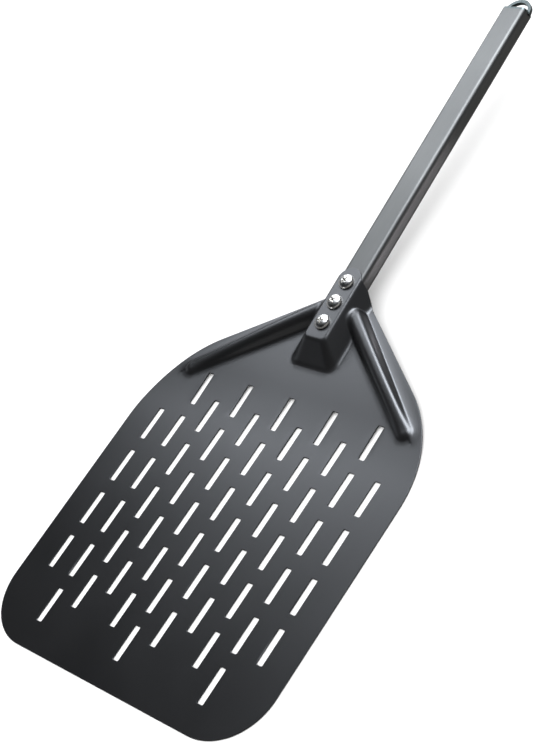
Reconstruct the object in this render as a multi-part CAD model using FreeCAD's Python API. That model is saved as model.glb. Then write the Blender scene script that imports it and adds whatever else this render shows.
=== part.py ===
import FreeCAD, Part
import math
import os

os.makedirs("parts", exist_ok=True)

# Perforated pizza peel: a pressed aluminium blade bolted to a rounded-rectangle tube handle.
# Millimetres. +Z is up, +Y runs along the handle, X is across the blade. The origin lies on the
# underside of the flat blade, at the centre of its slot pattern.

V = FreeCAD.Vector

# ---- driving dimensions -------------------------------------------------------------------
sheet = 1.2                     # thickness of the pressed blade sheet

blade_width = 305.0             # 12 inch
front_edge_y = -147.1
front_corner_r = 51.0
shoulder_start_y = 65.2         # straight sides end here
shoulder_r = 112.0
shoulder_angle = 54.1           # the shoulder edge's normal, degrees from +X

slot_length = 30.5
slot_width = 6.0
slot_corner_r = 0.9
column_pitch = 23.9             # between neighbouring columns
row_pitch = 21.6                # between neighbouring rows
side_column_x = 122.2           # the short outer column on each side

bend_start_y = 84.0             # flat up to here, then a gentle upward bend
bend_run = 45.0                 # its length along Y
neck_angle = 4.8                # degrees, slope of the neck and the handle

channel_height = 14.8           # outside height of the channel over the sheet
channel_base_w = 49.0           # outside width where the side walls meet the sheet
channel_top_w = 23.0
channel_base_u = 24.0           # where the sloped front wall starts, measured along the neck
channel_top_u = 42.4            # where it reaches the top face
channel_base_r = 9.0
channel_top_r = 4.5

# The shoulder ribs run from a tip near each side of the blade into the channel's walls.
# Ends of their inner and outer base lines, as x and distance along the neck.
rib_tip_inner = (114.7, -9.8)
rib_root_inner = (1.5, 73.3)
rib_tip_outer = (122.4, 0.1)
rib_root_outer = (11.9, 90.1)
rib_crest_at = 0.68             # share of the width, from the inner base line
rib_tip_h = 2.7
rib_rise = 16.3
rib_round_off = 9.2

tube_w = 25.2
tube_h = 14.0
tube_r = 4.2
tube_wall = 1.5
tube_start_u = 46.0
tube_end_u = 380.0
tube_gap = 0.3                  # between the channel's roof and the tube, filled by the nut flanges

screw_first_u = 57.8
screw_pitch = 19.5
screw_names = ["front", "middle", "rear"]
screw_shank_r = 2.95
screw_head_r = 6.9
screw_head_h = 4.3
screw_length = 11.0             # under the head
recess_span = 6.6
recess_width = 1.3
recess_depth = 2.6

nut_body_r = 4.45
nut_bulge_r = 5.5
nut_flange_r = 5.4
nut_bore_r = 3.0
nut_depth = 8.5                 # below the inside of the tube wall

loop_half_w = 13.8
loop_reach = 14.0               # from the end of the tube to the loop's outside
loop_band = 3.0                 # radial thickness
loop_height = 3.4
loop_centre_h = 6.0             # above the neck plane, near the middle of the tube
cap_flange = 2.0
cap_plug_length = 14.0
cap_wall = 1.6
front_plug_length = 9.0
front_plug_flange = 1.0

fit_gap = 0.05                  # clearance of plugs, nuts and shanks in their holes

# ---- derived places -----------------------------------------------------------------------
half_w = blade_width / 2
theta = math.radians(neck_angle)
bend_r = bend_run / math.sin(theta)            # radius of the sheet's top face in the bend
neck_y = bend_start_y + bend_run
neck_z = sheet + bend_r * (1 - math.cos(theta))
neck = FreeCAD.Placement(V(0, neck_y, neck_z), FreeCAD.Rotation(V(1, 0, 0), neck_angle))
tube_top_h = channel_height - sheet - tube_gap
tube_mid_h = tube_top_h - tube_h / 2


def in_neck(shape):
    """Moves a shape from the neck's own frame (x, u along the neck, h above the sheet)."""
    return shape.transformed(neck.toMatrix())


def save(shape, node):
    """Writes one node as one STEP file, and says how large it is."""
    shape = shape.removeSplitter()
    box = shape.BoundBox
    print("%-18s solids %d valid %s volume %9.1f  z %.2f to %.2f" % (
        node, len(shape.Solids), shape.isValid(), shape.Volume, box.ZMin, box.ZMax))
    shape.exportStep("parts/%s.step" % node)


def polyline(points):
    return [Part.LineSegment(a, b).toShape() for a, b in zip(points, points[1:])]


def arc(a, mid, b):
    return Part.Arc(a, mid, b).toShape()


def on_circle(cx, cy, r, degrees, z=0.0):
    a = math.radians(degrees)
    return V(cx + r * math.cos(a), cy + r * math.sin(a), z)


def rounded_rect(width, height, r, u):
    """A rounded rectangle across the handle at the station u, centred on x = 0, h = 0."""
    hw = width / 2 - r
    hh = height / 2 - r
    corners = [(hw, hh, 0), (-hw, hh, 90), (-hw, -hh, 180), (hw, -hh, 270)]
    ends = []
    for cx, ch, start in corners:
        trio = []
        for degrees in (start, start + 45, start + 90):
            p = on_circle(cx, ch, r, degrees)
            trio.append(V(p.x, u, p.y))
        ends.append(trio)
    edges = []
    for i, trio in enumerate(ends):
        edges.append(arc(*trio))
        edges.append(Part.LineSegment(trio[2], ends[(i + 1) % 4][0]).toShape())
    return Part.Wire(edges)


def bar(width, height, r, u0, u1, h):
    """A rounded-rectangle bar along the neck from u0 to u1, centred at height h."""
    face = Part.Face(rounded_rect(width, height, r, u0))
    solid = face.extrude(V(0, u1 - u0, 0))
    solid.translate(V(0, 0, h))
    return solid


# ---- blade --------------------------------------------------------------------------------
def bent_sheet():
    """The sheet seen from the side: flat, a gentle bend, then the sloped neck."""
    c, s = math.cos(theta), math.sin(theta)
    centre_z = sheet + bend_r
    low_r = bend_r + sheet
    reach = 125.0

    def ring(r, a):
        return V(0, bend_start_y + r * math.sin(a), centre_z - r * math.cos(a))

    start = front_edge_y - 10
    top_end = ring(bend_r, theta) + V(0, reach * c, reach * s)
    low_end = ring(low_r, theta) + V(0, reach * c, reach * s)
    edges = polyline([V(0, start, 0), ring(low_r, 0)])
    edges.append(arc(ring(low_r, 0), ring(low_r, theta / 2), ring(low_r, theta)))
    edges += polyline([ring(low_r, theta), low_end, top_end, ring(bend_r, theta)])
    edges.append(arc(ring(bend_r, theta), ring(bend_r, theta / 2), ring(bend_r, 0)))
    edges += polyline([ring(bend_r, 0), V(0, start, sheet), V(0, start, 0)])
    profile = Part.Face(Part.Wire(edges))
    profile.translate(V(-half_w - 10, 0, 0))
    return profile.extrude(V(blade_width + 20, 0, 0))


def half_outline():
    """The right half of the blade's plan: shoulder, side and front corner, then the neck."""
    cx = half_w - shoulder_r
    shoulder_end = on_circle(cx, shoulder_start_y, shoulder_r, shoulder_angle)
    neck_side = V(26.5, 0, 0)
    slope = math.tan(math.radians(90 - shoulder_angle))
    neck_side.y = shoulder_end.y + (shoulder_end.x - neck_side.x) * slope
    wall_corner = V(18.0, 225.5, 0)
    tongue_side = V(11.3, 230.5, 0)
    fx = half_w - front_corner_r
    fy = front_edge_y + front_corner_r
    edges = polyline([V(0, front_edge_y, 0), V(fx, front_edge_y, 0)])
    edges.append(arc(V(fx, front_edge_y, 0), on_circle(fx, fy, front_corner_r, -45), V(half_w, fy, 0)))
    edges += polyline([V(half_w, fy, 0), V(half_w, shoulder_start_y, 0)])
    middle = on_circle(cx, shoulder_start_y, shoulder_r, shoulder_angle / 2)
    edges.append(arc(V(half_w, shoulder_start_y, 0), middle, shoulder_end))
    edges += polyline([shoulder_end, neck_side, wall_corner, tongue_side])
    return edges, tongue_side


def outline_prism():
    right, tongue_side = half_outline()
    tongue_tip = V(0, 238.0, 0)
    tongue = arc(tongue_side, tongue_tip, V(-tongue_side.x, tongue_side.y, 0))
    left = [e.mirror(V(0, 0, 0), V(1, 0, 0)) for e in reversed(right)]
    wire = Part.Wire(Part.__sortEdges__(right + [tongue] + left))
    prism = Part.Face(wire).extrude(V(0, 0, 80))
    prism.translate(V(0, 0, -20))
    return prism


def channel_wire(base_w, front_u, r, h):
    """Plan section of the channel at height h: rounded front corners, open-ended behind."""
    hw = base_w / 2
    rear_u = 125.0
    c = r * math.sqrt(0.5)
    right_mid = V(hw - r + c, front_u + r - c, h)
    left_mid = V(-right_mid.x, right_mid.y, h)
    edges = polyline([V(-hw + r, front_u, h), V(hw - r, front_u, h)])
    edges.append(arc(V(hw - r, front_u, h), right_mid, V(hw, front_u + r, h)))
    edges += polyline([V(hw, front_u + r, h), V(hw, rear_u, h), V(-hw, rear_u, h),
                       V(-hw, front_u + r, h)])
    edges.append(arc(V(-hw, front_u + r, h), left_mid, V(-hw + r, front_u, h)))
    return Part.Wire(edges)


def channel(offset, h0, h1):
    """The raised channel between two heights, its walls moved in by the given thickness."""
    side_run = (channel_base_w - channel_top_w) / 2 / channel_height
    front_run = (channel_top_u - channel_base_u) / channel_height
    r_run = (channel_base_r - channel_top_r) / channel_height
    side_in = offset * math.sqrt(1 + side_run ** 2)
    front_in = offset * math.sqrt(1 + front_run ** 2)
    wires = []
    for h in (h0, h1):
        width = channel_base_w - 2 * (side_run * h + side_in)
        front = channel_base_u + front_run * h + front_in
        wires.append(channel_wire(width, front, channel_base_r - r_run * h, h))
    return Part.makeLoft(wires, True, True)


def rib_section(t, inset, base_h):
    """Cross section of a shoulder rib, t = 0 at its tip and 1 inside the channel's wall."""
    inner = V(rib_tip_inner[0], rib_tip_inner[1], 0)
    inner += (V(rib_root_inner[0], rib_root_inner[1], 0) - inner) * t
    outer = V(rib_tip_outer[0], rib_tip_outer[1], 0)
    outer += (V(rib_root_outer[0], rib_root_outer[1], 0) - outer) * t
    width = (outer - inner).Length
    height = rib_tip_h + rib_rise * t - rib_round_off * t * t - inset
    nose = min(1.0, 0.45 + 11 * t)
    centre = inner + (outer - inner) * rib_crest_at
    across = (outer - inner) * (1 / width)
    near = (width * rib_crest_at) * nose - 1.25 * inset
    far = (width * (1 - rib_crest_at)) * nose - 1.25 * inset
    height *= nose

    def at(side, h):
        return centre + across * side + V(0, 0, h)

    edges = polyline([at(far, base_h), at(-near, base_h), at(-near, 0), at(-0.5 * near, 0.8 * height)])
    edges.append(arc(at(-0.5 * near, 0.8 * height), at(0, height), at(0.55 * far, 0.8 * height)))
    edges += polyline([at(0.55 * far, 0.8 * height), at(far, 0), at(far, base_h)])
    return Part.Wire(edges)


def rib(inset, base_h, first):
    """A tapering shoulder rib on the right side, from the station given to the channel."""
    stations = [first, first + 0.05, 0.2, 0.45, 0.7, 1.0]
    return Part.makeLoft([rib_section(t, inset, base_h) for t in stations], True, True)


def slot_pattern():
    """All the straight slots, staggered in columns, as one compound of prisms."""
    hw = slot_width / 2 - slot_corner_r
    hl = slot_length / 2 - slot_corner_r
    one = Part.makeBox(2 * hw, slot_length, 40, V(-hw, -slot_length / 2, -15))
    one = one.fuse(Part.makeBox(slot_width, 2 * hl, 40, V(-slot_width / 2, -hl, -15)))
    for sx in (-1, 1):
        for sy in (-1, 1):
            one = one.fuse(Part.makeCylinder(slot_corner_r, 40, V(sx * hw, sy * hl, -15)))
    one = one.removeSplitter()
    slots = []
    for row in range(11):
        columns = [-4, -2, 0, 2, 4] if row % 2 == 0 else [-3, -1, 1, 3]
        if row == 10:
            columns = [-4, 0, 4]
        xs = [c * column_pitch for c in columns]
        if row in (2, 4, 6, 8):
            xs += [-side_column_x, side_column_x]
        for x in xs:
            slot = one.copy()
            slot.translate(V(x, (5 - row) * row_pitch, 0))
            slots.append(slot)
    return Part.makeCompound(slots)


def screw_stations():
    return [screw_first_u + i * screw_pitch for i in range(len(screw_names))]


def make_blade():
    outer = in_neck(channel(0.0, -sheet / 2, channel_height))
    inner = in_neck(channel(sheet, -sheet - 4, channel_height - sheet))
    right_out = rib(0.0, -sheet / 2, 0.0)
    right_in = rib(sheet, -sheet - 4, 0.06)
    mirror = (V(0, 0, 0), V(1, 0, 0))
    blade = bent_sheet().fuse([outer, in_neck(right_out), in_neck(right_out.mirror(*mirror))])
    blade = blade.cut([inner, in_neck(right_in), in_neck(right_in.mirror(*mirror))])
    blade = blade.common(outline_prism())
    blade = blade.cut(slot_pattern())
    for u in screw_stations():
        hole = Part.makeCylinder(screw_shank_r + 2 * fit_gap, 10, V(0, u, channel_height - 5))
        blade = blade.cut(in_neck(hole))
    return blade


# ---- handle -------------------------------------------------------------------------------
def make_tube():
    outside = bar(tube_w, tube_h, tube_r, tube_start_u, tube_end_u, tube_mid_h)
    inside = bar(tube_w - 2 * tube_wall, tube_h - 2 * tube_wall, tube_r - tube_wall,
                 tube_start_u - 1, tube_end_u + 1, tube_mid_h)
    tube = outside.cut(inside)
    for u in screw_stations():
        low = V(0, u, tube_top_h - tube_wall - 2)
        hole = Part.makeCylinder(nut_body_r + fit_gap, tube_wall + 4, low)
        tube = tube.cut(hole)
    return in_neck(tube)


def make_front_plug():
    plug_w = tube_w - 2 * tube_wall - 2 * fit_gap
    plug_h = tube_h - 2 * tube_wall - 2 * fit_gap
    plug_r = tube_r - tube_wall - fit_gap
    flange = bar(tube_w - 1, tube_h - 1, tube_r - 0.5, tube_start_u - front_plug_flange,
                 tube_start_u, tube_mid_h)
    body = bar(plug_w, plug_h, plug_r, tube_start_u - front_plug_flange / 2,
               tube_start_u + front_plug_length, tube_mid_h)
    hollow = bar(plug_w - 2 * cap_wall, plug_h - 2 * cap_wall, 1.0, tube_start_u + 1,
                 tube_start_u + front_plug_length + 1, tube_mid_h)
    nut_room = Part.makeCylinder(nut_bulge_r + 0.3, 30, V(0, screw_first_u, -15))
    return in_neck(flange.fuse(body).cut(hollow).cut(nut_room))


def d_plate(half_width, reach, height):
    """A flat D standing out from the end of the tube, straight side on the tube."""
    u = tube_end_u
    h = loop_centre_h - height / 2
    ends = [V(half_width, u, h), V(0, u + reach, h)]
    if reach > half_width:
        ends.reverse()
    ellipse = Part.Ellipse(ends[0], ends[1], V(0, u, h))
    full = Part.Face(Part.Wire(ellipse.toShape())).extrude(V(0, 0, height))
    keep = Part.makeBox(4 * half_width, 2 * reach, 3 * height, V(-2 * half_width, u, h - height))
    return full.common(keep)


def make_end_cap():
    """Die-cast cap: a hollow plug, a flange over the tube's end and the D-shaped hanging loop."""
    u = tube_end_u
    plug_w = tube_w - 2 * tube_wall - 2 * fit_gap
    plug_h = tube_h - 2 * tube_wall - 2 * fit_gap
    plug = bar(plug_w, plug_h, tube_r - tube_wall - fit_gap, u - cap_plug_length, u + 0.5, tube_mid_h)
    hollow = bar(plug_w - 2 * cap_wall, plug_h - 2 * cap_wall, 1.0, u - cap_plug_length - 1,
                 u - 1.0, tube_mid_h)
    flange = bar(tube_w, tube_h, tube_r, u, u + cap_flange, tube_mid_h)
    flange = flange.makeFillet(0.6, [e for e in flange.Edges if e.BoundBox.YMin > u + cap_flange - 0.01])
    loop = d_plate(loop_half_w, loop_reach, loop_height)
    gap = d_plate(loop_half_w - loop_band, loop_reach - loop_band, 3 * loop_height)
    gap = gap.cut(Part.makeBox(60, 2 * cap_flange, 60, V(-30, u - cap_flange, -30)))
    cap = plug.cut(hollow).fuse([flange, loop]).cut(gap)
    return in_neck(cap)


# ---- fasteners ----------------------------------------------------------------------------
def make_screw(u):
    """Truss-head machine screw with a cross recess, its head on the roof of the channel."""
    skirt = 0.6
    seat = channel_height
    axis_low = V(0, 0, 0)
    points = [V(0, 0, 0), V(screw_head_r, 0, 0), V(screw_head_r, 0, skirt)]
    edges = polyline(points)
    edges.append(arc(points[2], V(screw_head_r * 0.66, 0, screw_head_h * 0.82), V(0, 0, screw_head_h)))
    edges += polyline([V(0, 0, screw_head_h), axis_low])
    head = Part.Face(Part.Wire(edges)).revolve(axis_low, V(0, 0, 1), 360)
    shank = Part.makeCylinder(screw_shank_r, screw_length, V(0, 0, -screw_length))
    shank = shank.makeChamfer(0.6, [e for e in shank.Edges if e.BoundBox.ZMax < -screw_length + 0.01])
    screw = Part.makeSolid(head.Shells[0]) if head.ShapeType != "Solid" else head
    screw = screw.fuse(shank)
    floor = screw_head_h - recess_depth
    for w, l in ((recess_width, recess_span), (recess_span, recess_width)):
        screw = screw.cut(Part.makeBox(w, l, 5, V(-w / 2, -l / 2, floor)))
    screw = screw.cut(Part.makeCone(0.4, 1.9, recess_depth, V(0, 0, floor)))
    screw.rotate(V(0, 0, 0), V(0, 0, 1), 20 + 25 * u % 90)
    screw.translate(V(0, u, seat))
    return in_neck(screw)


def make_rivet_nut(u):
    """Blind rivet nut: thin flange on the tube, set bulge under the wall, threaded barrel."""
    top = tube_top_h
    wall_low = top - tube_wall
    flange = Part.makeCylinder(nut_flange_r, tube_gap - 2 * fit_gap, V(0, u, top + fit_gap))
    barrel = Part.makeCylinder(nut_body_r, tube_wall + nut_depth + fit_gap, V(0, u, wall_low - nut_depth))
    bulge = Part.makeCone(nut_body_r, nut_bulge_r, 1.2, V(0, u, wall_low - 2.6))
    bulge = bulge.fuse(Part.makeCylinder(nut_bulge_r, 1.35, V(0, u, wall_low - 1.4)))
    nut = barrel.fuse([flange, bulge])
    nut = nut.cut(Part.makeCylinder(nut_bore_r, 30, V(0, u, -15)))
    return in_neck(nut)


save(make_blade(), "blade")
save(make_tube(), "handle_tube")
save(make_front_plug(), "front_plug")
save(make_end_cap(), "end_cap")
for name, station in zip(screw_names, screw_stations()):
    save(make_screw(station), "screw_" + name)
    save(make_rivet_nut(station), "rivet_nut_" + name)
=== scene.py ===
import math

import bmesh
import bpy
import numpy as np
from mathutils import Matrix, Vector, geometry


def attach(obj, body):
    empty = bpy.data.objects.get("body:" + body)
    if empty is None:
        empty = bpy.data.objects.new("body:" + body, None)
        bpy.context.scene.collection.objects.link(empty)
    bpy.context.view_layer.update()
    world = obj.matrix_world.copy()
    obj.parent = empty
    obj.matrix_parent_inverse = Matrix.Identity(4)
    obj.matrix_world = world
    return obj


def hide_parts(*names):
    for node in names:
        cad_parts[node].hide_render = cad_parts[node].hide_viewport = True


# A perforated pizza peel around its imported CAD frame. Lengths in this script are millimetres in
# the row frame (underside of the flat blade at z = 0, handle along +Y); MM turns them to metres.
MM = 0.001
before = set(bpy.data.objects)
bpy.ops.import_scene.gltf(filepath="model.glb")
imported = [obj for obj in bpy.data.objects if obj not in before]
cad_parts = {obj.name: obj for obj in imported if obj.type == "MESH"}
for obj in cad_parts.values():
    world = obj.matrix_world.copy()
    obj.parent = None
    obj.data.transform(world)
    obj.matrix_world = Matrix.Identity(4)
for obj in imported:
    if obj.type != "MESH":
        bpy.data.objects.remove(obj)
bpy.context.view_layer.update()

# ---- the pressed sheet -----------------------------------------------------------------------
SHEET = 1.2
HALF_W = 152.5
FRONT_Y = -147.1
FRONT_R = 51.0
SHOULDER_Y = 65.2
SHOULDER_R = 112.0
SHOULDER_ANGLE = math.radians(54.1)
BEND_Y = 84.0
BEND_RUN = 45.0
TILT = math.radians(4.8)
BEND_R = BEND_RUN / math.sin(TILT)
NECK_Y = BEND_Y + BEND_RUN
NECK_Z = SHEET + BEND_R * (1 - math.cos(TILT))
NECK_S = BEND_Y + BEND_R * TILT          # distance along the sheet where the neck's plane starts

SLOT_L = 30.5
SLOT_W = 6.0
SLOT_R = 0.9
COLUMN = 23.9
ROW = 21.6
SIDE_COLUMN = 122.2

CHANNEL_H = 14.8
CHANNEL_HALF = 24.5                      # half width where the walls meet the sheet
CHANNEL_FRONT = 24.0
SIDE_RUN = 13.0 / CHANNEL_H              # how far a wall leans in for each mm of height
FRONT_RUN = 18.4 / CHANNEL_H
SCREW_U = (57.8, 77.3, 96.8)

NECK_HALF_W = 26.5                       # where the shoulder's straight edge ends
WALL_CORNER = (18.0, 225.5)
TONGUE_SIDE = (11.3, 230.5)
TONGUE_TIP_Y = 238.0

RIB_TIP = np.array([119.1, -4.15])       # crest line, as x and distance along the neck
RIB_ROOT = np.array([7.1, 84.05])
RIB_FADE = 0.0005                        # height below which the sheet counts as flat

SLOT_CLEAR = 2.0                         # room between a slot and the net's free points


def neck_matrix():
    """From the neck's own frame (x, u along the neck, h above the sheet) to the row frame."""
    turn = Matrix.Rotation(TILT, 4, "X")
    return Matrix.Translation(Vector((0, NECK_Y, NECK_Z)) * MM) @ turn


def smin(a, b, k):
    d = np.maximum(k - np.abs(a - b), 0.0)
    return np.minimum(a, b) - d * d / (4 * k)


def smax(a, b, k):
    return -smin(-a, -b, k)


def channel_height(x, u):
    """Height of the sloped walls over a point: found where the wall's outline passes it."""
    low = np.full_like(x, -14.0)
    high = np.full_like(x, 30.0)
    for _ in range(26):
        mid = (low + high) / 2
        half = CHANNEL_HALF - SIDE_RUN * mid
        front = CHANNEL_FRONT + FRONT_RUN * mid
        r = np.clip(9.0 - 0.304 * mid, 3.0, 13.0)
        across = np.abs(x) - half + r
        along = front + r - u
        outside = np.hypot(np.maximum(across, 0), np.maximum(along, 0))
        outside += np.minimum(np.maximum(across, along), 0) - r
        inside = outside <= 0
        low = np.where(inside, mid, low)
        high = np.where(inside, high, mid)
    return low


def rib_height(x, u):
    """Height of a shoulder rib: a tapering bead from near the blade's side into the channel."""
    length = np.linalg.norm(RIB_ROOT - RIB_TIP)
    e = (RIB_ROOT - RIB_TIP) / length
    out = np.array([-e[1], e[0]])
    out = out * np.sign(out[1])
    px = np.abs(x) - RIB_TIP[0]
    pu = u - RIB_TIP[1]
    along = px * e[0] + pu * e[1]
    across = px * out[0] + pu * out[1]
    t = np.clip(along / length, 0.0, 1.1)
    outer = across > 0
    width = np.where(outer, 5.2 + 2.4 * t, 7.0 + 4.5 * t)
    crest = 2.7 + 16.3 * t - 9.2 * t * t
    nose = np.maximum(-along, 0) / 7.0 + np.maximum(along - 0.87 * length, 0) / 11.0
    v = np.hypot(across / width, nose)
    bulge = np.where(outer, 0.7, 0.65)
    bead = crest * (1.0 - (1.0 - bulge) * v ** 2 - bulge * v ** 4)
    reach = np.where(outer, 8.5, 6.5)
    foot = np.clip(1.0 - np.maximum(v - 1.0, 0) * width / reach, 0.0, 1.0) ** 2
    return smax(bead, foot * np.where(outer, 1.0, 0.6), 3.0)


def relief(x, u):
    """Height of the channel and ribs over the sheet, with soft feet all round."""
    channel = smin(channel_height(x, u), CHANNEL_H, 1.3)
    rib = rib_height(x, u)
    both = smax(channel, rib, 2.0 + 3.0 * np.clip(rib / 4.0, 0.0, 1.0))
    return np.maximum(both, 0.0) * np.clip((u + 22.0) / 4.0, 0.0, 1.0)


def on_sheet(x, s, h):
    """Maps a point of the unrolled sheet, and a height over it, to the row frame."""
    angle = np.clip((s - BEND_Y) / BEND_R, 0.0, TILT)
    u = np.maximum(s - NECK_S, 0.0)
    flat = np.minimum(s, BEND_Y)
    y = flat + (BEND_R - h) * np.sin(angle) + u * math.cos(TILT)
    z = SHEET + BEND_R - (BEND_R - h) * np.cos(angle) + u * math.sin(TILT)
    return np.stack([x, y, z], axis=-1)


def unroll(x, y):
    """Distance along the sheet of the point of its top face that lies over (x, y)."""
    x = np.asarray(x, float)
    y = np.asarray(y, float)
    bend = BEND_Y + BEND_R * np.arcsin(np.clip((y - BEND_Y) / BEND_R, 0, math.sin(TILT)))
    s = np.where(y <= BEND_Y, y, bend)
    for _ in range(12):
        h = relief(x, s - NECK_S)
        neck = NECK_S + (y - NECK_Y + h * math.sin(TILT)) / math.cos(TILT)
        s = np.where(y > NECK_Y, neck, s)
    return s


# ---- outline and slots -----------------------------------------------------------------------
def arc_points(cx, cy, r, a0, a1, n):
    return [(cx + r * math.cos(a0 + (a1 - a0) * i / n), cy + r * math.sin(a0 + (a1 - a0) * i / n))
            for i in range(n + 1)]


def line_points(a, b, step):
    n = max(1, round(math.dist(a, b) / step))
    return [(a[0] + (b[0] - a[0]) * i / n, a[1] + (b[1] - a[1]) * i / n) for i in range(n + 1)]


def outline():
    """The blade's plan, anticlockwise from the middle of the front edge."""
    fx = HALF_W - FRONT_R
    fy = FRONT_Y + FRONT_R
    cx = HALF_W - SHOULDER_R
    right = line_points((0, FRONT_Y), (fx, FRONT_Y), 8)
    right += arc_points(fx, fy, FRONT_R, -math.pi / 2, 0, 28)[1:]
    right += line_points((HALF_W, fy), (HALF_W, SHOULDER_Y), 8)[1:]
    right += arc_points(cx, SHOULDER_Y, SHOULDER_R, 0, SHOULDER_ANGLE, 44)[1:]
    end = right[-1]
    neck_side = (NECK_HALF_W, end[1] + (end[0] - NECK_HALF_W) / math.tan(SHOULDER_ANGLE))
    right += line_points(end, neck_side, 1.6)[1:]
    right += line_points(neck_side, WALL_CORNER, 1.0)[1:]
    right += line_points(WALL_CORNER, TONGUE_SIDE, 1.0)[1:]
    half_chord = TONGUE_SIDE[0]
    sag = TONGUE_TIP_Y - TONGUE_SIDE[1]
    r = (half_chord ** 2 + sag ** 2) / (2 * sag)
    a = math.asin(half_chord / r)
    right += arc_points(0, TONGUE_TIP_Y - r, r, math.pi / 2 - a, math.pi / 2, 9)[1:]
    left = [(-x, y) for x, y in reversed(right[1:-1])]
    return right + left


def slot_centres():
    centres = []
    for row in range(11):
        columns = (-4, -2, 0, 2, 4) if row % 2 == 0 else (-3, -1, 1, 3)
        if row == 10:
            columns = (-4, 0, 4)
        xs = [c * COLUMN for c in columns]
        if row in (2, 4, 6, 8):
            xs += [-SIDE_COLUMN, SIDE_COLUMN]
        centres += [(x, (5 - row) * ROW) for x in xs]
    return centres


def slot_loop(cx, cy):
    hw = SLOT_W / 2 - SLOT_R
    hl = SLOT_L / 2 - SLOT_R
    points = []
    for sx, sy, start in ((1, 1, 0), (-1, 1, 90), (-1, -1, 180), (1, -1, 270)):
        a = math.radians(start)
        points += arc_points(cx + sx * hw, cy + sy * hl, SLOT_R, a, a + math.pi / 2, 4)
    return points


def blade_mesh():
    """The top face as a triangle net that follows the outline, the slots and the pressings."""
    rim = outline()
    centres = slot_centres()
    loops = [rim] + [slot_loop(*c) for c in centres]
    verts = []
    edges = []
    for loop in loops:
        first = len(verts)
        n = len(loop)
        s = unroll([p[0] for p in loop], [p[1] for p in loop])
        verts += [(p[0], float(d)) for p, d in zip(loop, s)]
        edges += [(first + i, first + (i + 1) % n) for i in range(n)]
    rim_xs = np.array([(p[0], q[1]) for p, q in zip(rim, verts)])

    def grid(x0, x1, s0, s1, step):
        xs, ss = np.meshgrid(np.arange(x0, x1, step), np.arange(s0, s1, step * 0.866))
        xs = xs + (np.arange(ss.shape[0]) % 2)[:, None] * step / 2
        return np.stack([xs.ravel(), ss.ravel()], axis=1)

    fine = grid(-134, 134, 106, 245, 1.0)
    coarse = grid(-152, 152, -146, 106, 6.4)
    mid = grid(-152, 152, 100, 215, 4.5)
    pressed = relief(fine[:, 0], fine[:, 1] - NECK_S) > RIB_FADE
    lifted = relief(mid[:, 0], mid[:, 1] - NECK_S) > RIB_FADE
    points = np.concatenate([fine[pressed], mid[~lifted], coarse])
    keep = inside_polygon(points, rim_xs) & (distance_to_loop(points, rim_xs) > 0.8)
    for cx, cy in centres:
        clear = np.abs(points[:, 0] - cx) > SLOT_W / 2 + SLOT_CLEAR
        clear |= np.abs(points[:, 1] - cy) > SLOT_L / 2 + SLOT_CLEAR
        keep &= clear
    points = points[keep]
    verts += [tuple(p) for p in points]
    coords, _, faces, _, _, _ = geometry.delaunay_2d_cdt(
        [Vector(v) for v in verts], edges, [], 1, 1e-4)
    flat = np.array([(v.x, v.y) for v in coords])
    faces = [f for f in faces if not in_a_slot(flat[list(f)].mean(axis=0), centres)]
    h = relief(flat[:, 0], flat[:, 1] - NECK_S)
    placed = on_sheet(flat[:, 0], flat[:, 1], h) * MM
    mesh = bpy.data.meshes.new("blade_sheet")
    mesh.from_pydata([tuple(p) for p in placed], [], [tuple(f) for f in faces])
    tidy = bmesh.new()
    tidy.from_mesh(mesh)
    loose = [v for v in tidy.verts if not v.link_faces]
    bmesh.ops.delete(tidy, geom=loose, context="VERTS")
    bmesh.ops.recalc_face_normals(tidy, faces=tidy.faces)
    if sum(f.normal.z * f.calc_area() for f in tidy.faces) < 0:
        bmesh.ops.reverse_faces(tidy, faces=tidy.faces)
    tidy.to_mesh(mesh)
    tidy.free()
    return mesh


def inside_polygon(points, polygon):
    x, y = points[:, 0], points[:, 1]
    inside = np.zeros(len(points), bool)
    for (x0, y0), (x1, y1) in zip(polygon, np.roll(polygon, -1, axis=0)):
        crosses = (y0 > y) != (y1 > y)
        at = x0 + (y - y0) * (x1 - x0) / ((y1 - y0) or 1e-12)
        inside ^= crosses & (x < at)
    return inside


def distance_to_loop(points, polygon):
    best = np.full(len(points), 1e9)
    for a, b in zip(polygon, np.roll(polygon, -1, axis=0)):
        ab = b - a
        t = np.clip(((points - a) @ ab) / max(ab @ ab, 1e-12), 0, 1)
        best = np.minimum(best, np.linalg.norm(points - a - t[:, None] * ab, axis=1))
    return best


def in_a_slot(p, centres):
    return any(abs(p[0] - cx) < SLOT_W / 2 - 0.01 and abs(p[1] - cy) < SLOT_L / 2 - 0.01
               for cx, cy in centres)


# ---- helpers ---------------------------------------------------------------------------------
def new_object(name, mesh, material, node):
    obj = bpy.data.objects.new(name, mesh)
    bpy.context.scene.collection.objects.link(obj)
    mesh.polygons.foreach_set("use_smooth", [True] * len(mesh.polygons))
    mesh.materials.clear()
    mesh.materials.append(material)
    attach(obj, "root")
    if node:
        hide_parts(node)
    return obj


def edge_bevel(obj, width, segments=2, angle=50):
    bevel = obj.modifiers.new("edges", "BEVEL")
    bevel.width = width * MM
    bevel.segments = segments
    bevel.limit_method = "ANGLE"
    bevel.angle_limit = math.radians(angle)
    bevel.harden_normals = True
    return bevel


# ---- materials -------------------------------------------------------------------------------
def material(name):
    mat = bpy.data.materials.new(name)
    mat.use_nodes = True
    tree = mat.node_tree
    shader = tree.nodes["Principled BSDF"]
    coords = tree.nodes.new("ShaderNodeTexCoord")
    return mat, tree, shader, coords.outputs["Object"]


def stretched(tree, vector, scale):
    mapping = tree.nodes.new("ShaderNodeMapping")
    mapping.inputs["Scale"].default_value = scale
    tree.links.new(vector, mapping.inputs["Vector"])
    return mapping.outputs["Vector"]


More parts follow.
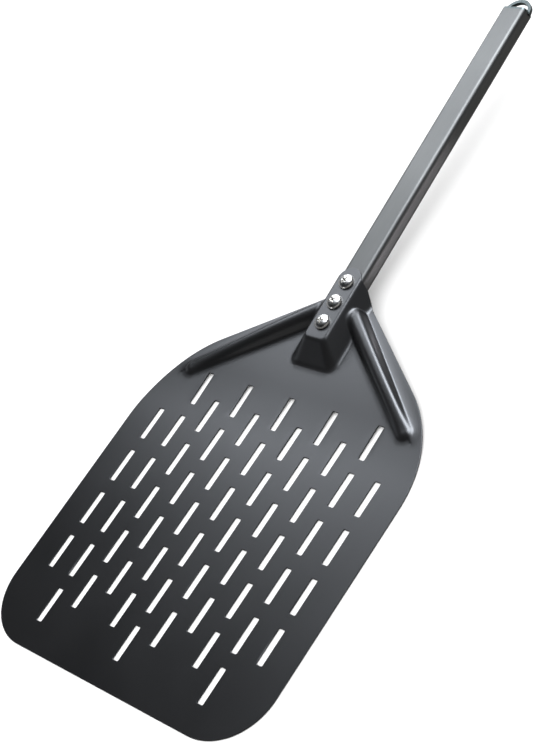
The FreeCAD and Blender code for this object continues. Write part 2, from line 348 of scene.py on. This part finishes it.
def noise(tree, vector, scale, detail=4.0, roughness=0.5):
    node = tree.nodes.new("ShaderNodeTexNoise")
    node.inputs["Scale"].default_value = scale
    node.inputs["Detail"].default_value = detail
    node.inputs["Roughness"].default_value = roughness
    tree.links.new(vector, node.inputs["Vector"])
    return node.outputs["Fac"]


def remap(tree, value, low, high, from_low=0.3, from_high=0.7):
    node = tree.nodes.new("ShaderNodeMapRange")
    node.inputs["From Min"].default_value = from_low
    node.inputs["From Max"].default_value = from_high
    node.inputs["To Min"].default_value = low
    node.inputs["To Max"].default_value = high
    tree.links.new(value, node.inputs["Value"])
    return node.outputs["Result"]


def mix(tree, factor, a, b):
    node = tree.nodes.new("ShaderNodeMix")
    node.data_type = "RGBA"
    tree.links.new(factor, node.inputs["Factor"])
    node.inputs["A"].default_value = (*a, 1)
    node.inputs["B"].default_value = (*b, 1)
    return node.outputs["Result"]


def bump(tree, shader, height, distance, strength=1.0):
    node = tree.nodes.new("ShaderNodeBump")
    node.inputs["Distance"].default_value = distance
    node.inputs["Strength"].default_value = strength
    tree.links.new(height, node.inputs["Height"])
    tree.links.new(node.outputs["Normal"], shader.inputs["Normal"])


def sheet_material():
    """Black hard-anodised sheet: satin, with faint clouding and a very fine etched grain."""
    mat, tree, shader, place = material("black_anodised_sheet")
    clouds = noise(tree, place, 9.0, 3.0)
    grain = noise(tree, place, 1400.0, 2.0)
    colour = mix(tree, remap(tree, clouds, 0, 1), (0.0045, 0.0047, 0.0055), (0.0068, 0.007, 0.0082))
    tree.links.new(colour, shader.inputs["Base Color"])
    tree.links.new(remap(tree, clouds, 0.33, 0.37), shader.inputs["Roughness"])
    shader.inputs["Metallic"].default_value = 0.0
    shader.inputs["IOR"].default_value = 1.75
    bump(tree, shader, grain, 0.00001, 0.6)
    return mat


def tube_material():
    """Grey anodised extrusion: fine bead-blasted texture, faint lengthwise drawing lines."""
    mat, tree, shader, place = material("grey_anodised_tube")
    lines = noise(tree, stretched(tree, place, (900, 6, 900)), 1.0, 3.0)
    clouds = noise(tree, place, 14.0, 3.0)
    colour = mix(tree, remap(tree, clouds, 0, 1), (0.104, 0.104, 0.1), (0.122, 0.122, 0.117))
    tree.links.new(colour, shader.inputs["Base Color"])
    tree.links.new(remap(tree, lines, 0.43, 0.49), shader.inputs["Roughness"])
    shader.inputs["Metallic"].default_value = 1.0
    bump(tree, shader, lines, 0.00002, 0.4)
    return mat


def plated_material():
    """Bright nickel plating with faint polishing marks."""
    mat, tree, shader, place = material("bright_nickel")
    marks = noise(tree, place, 700.0, 3.0)
    colour = mix(tree, remap(tree, marks, 0, 1), (0.74, 0.72, 0.68), (0.84, 0.82, 0.78))
    tree.links.new(colour, shader.inputs["Base Color"])
    tree.links.new(remap(tree, marks, 0.26, 0.34), shader.inputs["Roughness"])
    shader.inputs["Metallic"].default_value = 1.0
    return mat


def zinc_material():
    """Zinc-plated rivet nuts: dull bright metal, slightly cloudy."""
    mat, tree, shader, place = material("zinc_plate")
    clouds = noise(tree, place, 260.0, 4.0)
    colour = mix(tree, remap(tree, clouds, 0, 1), (0.5, 0.49, 0.45), (0.64, 0.63, 0.58))
    tree.links.new(colour, shader.inputs["Base Color"])
    tree.links.new(remap(tree, clouds, 0.3, 0.45), shader.inputs["Roughness"])
    shader.inputs["Metallic"].default_value = 1.0
    return mat


def cast_material():
    """Satin die-cast loop and cap: cool grey metal, finely uneven."""
    mat, tree, shader, place = material("satin_cast_loop")
    skin = noise(tree, place, 900.0, 3.0)
    colour = mix(tree, remap(tree, skin, 0, 1), (0.075, 0.088, 0.086), (0.1, 0.115, 0.113))
    tree.links.new(colour, shader.inputs["Base Color"])
    tree.links.new(remap(tree, skin, 0.28, 0.38), shader.inputs["Roughness"])
    shader.inputs["Metallic"].default_value = 1.0
    bump(tree, shader, skin, 0.00002, 0.5)
    return mat


def plastic_material():
    """Black moulded plug: fine matte texture."""
    mat, tree, shader, place = material("black_moulding")
    skin = noise(tree, place, 1200.0, 3.0)
    colour = mix(tree, remap(tree, skin, 0, 1), (0.012, 0.012, 0.012), (0.022, 0.022, 0.022))
    tree.links.new(colour, shader.inputs["Base Color"])
    tree.links.new(remap(tree, skin, 0.5, 0.65), shader.inputs["Roughness"])
    bump(tree, shader, skin, 0.00003, 0.5)
    return mat


# ---- pieces ----------------------------------------------------------------------------------
def make_blade(mat):
    obj = new_object("blade_sheet", blade_mesh(), mat, "blade")
    solid = obj.modifiers.new("thickness", "SOLIDIFY")
    solid.thickness = SHEET * MM
    solid.offset = -1.0
    solid.use_even_offset = True
    solid.use_quality_normals = True
    edge_bevel(obj, 0.38)
    return obj


def screw_mesh(name, turn):
    """Truss head with a cross recess, and its shank, in the screw's own frame, head on z = 0."""
    head_r, skirt, top = 6.9, 0.6, 4.3
    profile = [(0.0, -11.0), (2.45, -11.0), (2.95, -10.4), (2.95, 0.0), (head_r - 0.15, 0.0),
               (head_r, 0.15), (head_r, skirt)]
    flank = [(head_r * math.cos(a) ** 0.9, skirt + (top - skirt) * math.sin(a))
             for a in np.linspace(0.12, math.pi / 2, 12)[:-1]]
    profile += flank + [(0.0, top)]
    mesh = bpy.data.meshes.new(name)
    work = bmesh.new()
    verts = [work.verts.new((r * MM, 0, z * MM)) for r, z in profile]
    edges = [work.edges.new(pair) for pair in zip(verts, verts[1:])]
    bmesh.ops.spin(work, geom=verts + edges, cent=(0, 0, 0), axis=(0, 0, 1), angle=2 * math.pi,
                   steps=56, use_merge=True)
    bmesh.ops.remove_doubles(work, verts=work.verts, dist=0.00001)
    bmesh.ops.recalc_face_normals(work, faces=work.faces)
    work.to_mesh(mesh)
    work.free()
    head = bpy.data.objects.new(name + "_head", mesh)
    cutter = bpy.data.objects.new(name + "_cross", cross_mesh())
    for obj in (head, cutter):
        bpy.context.scene.collection.objects.link(obj)
    cutter.matrix_world = Matrix.Rotation(math.radians(turn), 4, "Z")
    cut = head.modifiers.new("recess", "BOOLEAN")
    cut.operation = "DIFFERENCE"
    cut.solver = "EXACT"
    cut.object = cutter
    bpy.context.view_layer.update()
    graph = bpy.context.evaluated_depsgraph_get()
    done = bpy.data.meshes.new_from_object(head.evaluated_get(graph))
    bpy.data.objects.remove(head)
    bpy.data.objects.remove(cutter)
    done.name = name
    return done


def cross_mesh():
    """A tapering four-winged plug, the shape that a cross recess takes away."""
    def ring(z, arm, web, core):
        points = []
        for i in range(4):
            a = i * math.pi / 2
            c, s = math.cos(a), math.sin(a)
            for along, across in ((core, -web), (arm, -web), (arm, web), (core, web)):
                x = along * c - across * s
                y = along * s + across * c
                points.append((x * MM, y * MM, z * MM))
        return points

    rings = [ring(5.4, 3.6, 0.85, 1.35), ring(3.8, 3.1, 0.7, 1.1), ring(1.9, 1.5, 0.45, 0.75),
             ring(1.4, 0.7, 0.3, 0.4)]
    n = len(rings[0])
    verts = [p for r in rings for p in r]
    faces = [tuple(range(n))[::-1], tuple(range(3 * n, 4 * n))]
    for k in range(3):
        for i in range(n):
            j = (i + 1) % n
            faces.append((k * n + i, (k + 1) * n + i, (k + 1) * n + j, k * n + j))
    mesh = bpy.data.meshes.new("cross")
    mesh.from_pydata(verts, [], faces)
    tidy = bmesh.new()
    tidy.from_mesh(mesh)
    bmesh.ops.recalc_face_normals(tidy, faces=tidy.faces)
    tidy.to_mesh(mesh)
    tidy.free()
    return mesh


def make_screws(mat):
    for name, u, turn in zip(("front", "middle", "rear"), SCREW_U, (12, 38, 61)):
        mesh = screw_mesh("screw_" + name + "_head", turn)
        seat = Matrix.Translation(Vector((0, u, CHANNEL_H)) * MM)
        mesh.transform(neck_matrix() @ seat)
        obj = new_object("screw_" + name + "_head", mesh, mat, "screw_" + name)
        edge_bevel(obj, 0.12, 2, 35)


def paint_cad(names, mat):
    for name in names:
        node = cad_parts[name]
        if node.material_slots:
            for slot in node.material_slots:
                slot.material = mat
        else:
            node.data.materials.append(mat)


# ---- studio ----------------------------------------------------------------------------------
def aim(obj, target):
    direction = Vector(target) - obj.location
    obj.rotation_euler = direction.to_track_quat("-Z", "Y").to_euler()


def panel(name, direction, distance, size, radiance, colour=(1, 1, 1)):
    """A soft rectangular light of the given radiance, facing the middle of the peel."""
    light = bpy.data.lights.new(name, "AREA")
    light.shape = "RECTANGLE"
    light.size, light.size_y = size
    light.energy = radiance * math.pi * size[0] * size[1]
    light.color = colour
    obj = bpy.data.objects.new(name, light)
    obj.location = Vector((0, 0.15, 0.02)) + Vector(direction).normalized() * distance
    bpy.context.scene.collection.objects.link(obj)
    aim(obj, (0, 0.15, 0.02))
    obj.visible_camera = False
    obj.visible_diffuse = False
    return obj


def floor_plane(name, z, shade, corners):
    """A matte plane of the given shade at height z, its corners given in metres."""
    mesh = bpy.data.meshes.new(name)
    mesh.from_pydata([(x, y, 0) for x, y in corners], [], [(0, 1, 2, 3)])
    mat, tree, shader, place = material(name + "_paint")
    pale = mix(tree, remap(tree, noise(tree, place, 3.0, 2.0), 0, 1), [shade - 0.01] * 3,
               [shade + 0.01] * 3)
    tree.links.new(pale, shader.inputs["Base Color"])
    shader.inputs["Roughness"].default_value = 0.9
    shader.inputs["Specular IOR Level"].default_value = 0.1
    mesh.materials.append(mat)
    obj = bpy.data.objects.new(name, mesh)
    obj.location.z = z
    bpy.context.scene.collection.objects.link(obj)
    return obj


def make_studio():
    """White surroundings light the floor; the panels are seen only as reflections."""
    world = bpy.data.worlds.new("studio")
    bpy.context.scene.world = world
    world.use_nodes = True
    world.node_tree.nodes["Background"].inputs["Color"].default_value = (1, 1, 1, 1)
    world.node_tree.nodes["Background"].inputs["Strength"].default_value = 1.6
    world.cycles_visibility.glossy = False
    cool = (0.87, 0.92, 1.0)
    panel("key_left", (-0.67, 0.45, 0.64), 1.1, (0.60, 0.42), 4.7, cool)
    panel("key_middle", (-0.30, 0.65, 0.70), 1.1, (0.50, 0.38), 2.5, cool)
    panel("key_behind", (0.04, 0.60, 0.80), 1.1, (0.68, 0.72), 13.0, cool)
    panel("low_behind", (-0.50, 0.75, 0.28), 1.2, (0.90, 0.26), 7.0, cool)
    panel("fill_left", (-0.95, -0.40, 0.16), 1.2, (1.50, 0.36), 0.4, cool)
    panel("fill_right", (0.95, -0.25, 0.14), 1.3, (2.40, 0.36), 0.6)
    panel("fill_front", (0.00, -0.99, 0.14), 1.3, (1.40, 0.30), 0.4)
    wide = [(-30, -30), (30, -30), (30, 30), (-30, 30)]
    beside_handle = [(0.035, 0.245), (0.050, 0.245), (0.066, 0.390), (0.052, 0.390)]
    floor = floor_plane("floor", -0.0002, 0.93, wide)
    floor.visible_glossy = False
    # Painted shade in reflections: a dark grey copy of the floor, seen only by glossy rays, stands
    # in for the shade on the white floor that the sheet's flanks and the tube's sides reflect.
    grey = floor_plane("shaded_floor_seen_in_reflections", -0.0001, 0.24, wide)
    # Painted reflection: a glowing card on the floor beside the handle, seen only by glossy rays,
    # puts a bright band of painted light into the tube's right side, standing in for the lit floor
    # there.
    card = floor_plane("glowing_card_seen_in_reflections", -0.00005, 0.93, beside_handle)
    shader = card.data.materials[0].node_tree.nodes["Principled BSDF"]
    shader.inputs["Emission Color"].default_value = (0.94, 0.9, 1.0, 1.0)
    shader.inputs["Emission Strength"].default_value = 4.0
    for plane in (grey, card):
        plane.visible_camera = False
        plane.visible_diffuse = False
        plane.visible_shadow = False


def make_camera():
    """Main view: above the front right of the blade, rolled with the handle to the top right."""
    data = bpy.data.cameras.new("camera")
    data.sensor_width = 36.0
    data.sensor_fit = "AUTO"
    data.lens = 80.74
    data.clip_end = 100.0
    camera = bpy.data.objects.new("camera", data)
    right = Vector((0.687770, 0.543756, -0.480938))
    up = Vector((-0.208831, 0.782711, 0.586305))
    back = Vector((0.695243, -0.302808, 0.651878))
    turn = Matrix((right, up, back)).transposed().to_4x4()
    place = Vector((912.10, -279.81, 893.40)) * MM
    camera.matrix_world = Matrix.Translation(place) @ turn
    bpy.context.scene.collection.objects.link(camera)
    bpy.context.scene.camera = camera


bpy.context.scene.view_settings.view_transform = "Standard"
make_blade(sheet_material())
make_screws(plated_material())
paint_cad(["handle_tube"], tube_material())
paint_cad(["end_cap"], cast_material())
paint_cad(["front_plug"], plastic_material())
paint_cad(["rivet_nut_front", "rivet_nut_middle", "rivet_nut_rear"], zinc_material())
make_studio()
make_camera()
